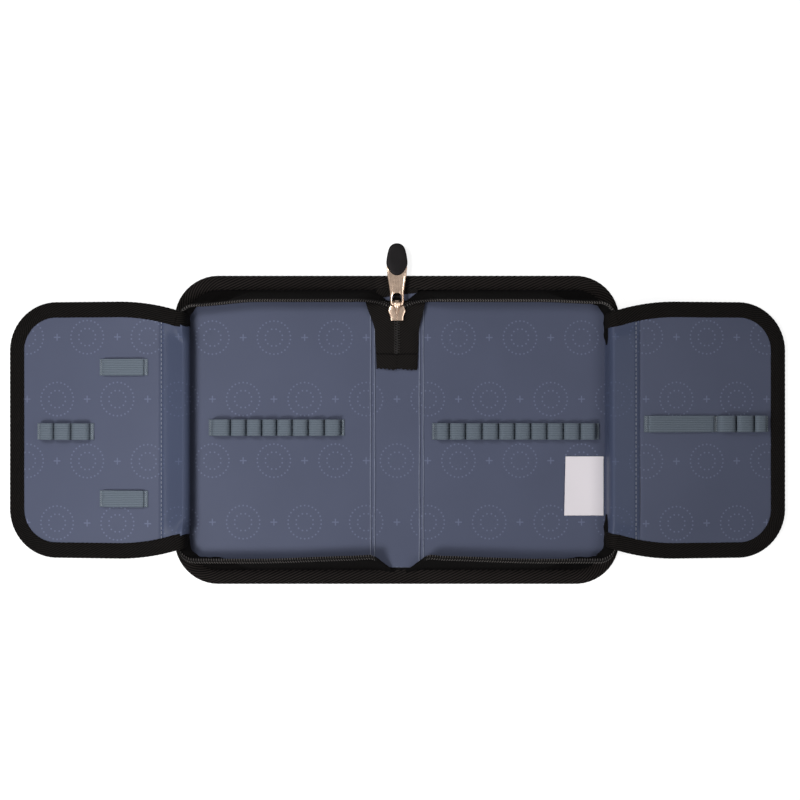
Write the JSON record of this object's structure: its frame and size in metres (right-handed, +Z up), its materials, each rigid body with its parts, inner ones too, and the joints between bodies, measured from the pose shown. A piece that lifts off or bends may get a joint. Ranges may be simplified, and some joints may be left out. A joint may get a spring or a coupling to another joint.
{
  "type": "zip-around instrument case",
  "caption": "Soft zip-around case lying open: stiffened halves on a spine, zip walls, elastic pen loops, hinged bound flaps.",
  "frame": {"origin": "middle of the spine's underside, on the table", "axes": "+X across the open case towards the right flap, +Y along the spine towards the slider, +Z up"},
  "size_m": [0.5156, 0.2266, 0.0214],
  "materials": {
    "lining": "coated, satin",
    "cover_fabric": "woven, matte",
    "stiffener": "sheet, matte",
    "binding_tape": "twill, matte",
    "zip_tape": "woven, matte",
    "zip_teeth": "nylon, satin",
    "elastic": "ribbed, matte",
    "label_ribbon": "satin ribbon",
    "slider_metal": "plated, satin",
    "grip_rubber": "moulded, matte"
  },
  "bodies": {
    "spine": {"left_zip_foot": "zip_tape", "left_zip_lead": "zip_tape", "right_zip_foot": "zip_tape", "right_zip_lead": "zip_tape", "spine_board": "stiffener", "spine_bottom_binding": "binding_tape", "spine_lining": "lining", "spine_outer_cover": "cover_fabric", "spine_top_binding": "binding_tape", "zip_tail_chain": "zip_teeth", "zip_tail_hem": "zip_tape", "zip_tail_tape": "zip_tape"},
    "slider": {"slider_body": "slider_metal", "slider_crown": "slider_metal"},
    "pull": {"pull_tab": "slider_metal", "pull_grip": "grip_rubber"},
    "left_half": {"left_board": "stiffener", "left_edge_binding": "binding_tape", "left_hinge_tape": "lining", "left_lining": "lining", "left_outer_cover": "cover_fabric", "left_pen_loops": "elastic", "left_zip_chain": "zip_teeth", "left_zip_tape": "zip_tape"},
    "right_half": {"care_label": "label_ribbon", "right_board": "stiffener", "right_edge_binding": "binding_tape", "right_hinge_tape": "lining", "right_lining": "lining", "right_outer_cover": "cover_fabric", "right_pen_loops": "elastic", "right_zip_chain": "zip_teeth", "right_zip_tape": "zip_tape"},
    "left_flap": {"left_flap_binding": "binding_tape", "left_flap_board": "stiffener", "left_flap_hinge_strip": "lining", "left_flap_inner_lining": "lining", "left_flap_lower_loop": "elastic", "left_flap_outer_lining": "lining", "left_flap_triple_loop": "elastic", "left_flap_upper_loop": "elastic"},
    "right_flap": {"right_flap_binding": "binding_tape", "right_flap_board": "stiffener", "right_flap_hinge_strip": "lining", "right_flap_inner_lining": "lining", "right_flap_long_loop": "elastic", "right_flap_outer_lining": "lining", "right_flap_triple_loop": "elastic"}
  },
  "joints": [
    {"name": "left_fold", "type": "hinge", "parent": "spine", "child": "left_half", "pos_m": [-0.01625, 0, 0.0027], "axis": [0, 1, 0], "range_deg": [0, 90], "deforming": ["left_zip_lead", "left_zip_foot"]},
    {"name": "right_fold", "type": "hinge", "parent": "spine", "child": "right_half", "pos_m": [0.01625, 0, 0.0027], "axis": [0, -1, 0], "range_deg": [0, 90], "deforming": ["right_zip_lead", "right_zip_foot"]},
    {"name": "left_flap_hinge", "type": "hinge", "parent": "left_half", "child": "left_flap", "pos_m": [-0.1392, 0, 0.0182], "axis": [0, 1, 0], "range_deg": [0, 188.83]},
    {"name": "right_flap_hinge", "type": "hinge", "parent": "right_half", "child": "right_flap", "pos_m": [0.1392, 0, 0.0182], "axis": [0, -1, 0], "range_deg": [0, 188.83]},
    {"name": "slider_run", "type": "slide", "parent": "spine", "child": "slider", "axis": [0, 1, 0], "range_m": [-0.018, 0]},
    {"name": "pull_swing", "type": "hinge", "parent": "slider", "child": "pull", "pos_m": [0, 0.0825, 0.0086], "axis": [-1, 0, 0], "range_deg": [-165, 0]}
  ]
}
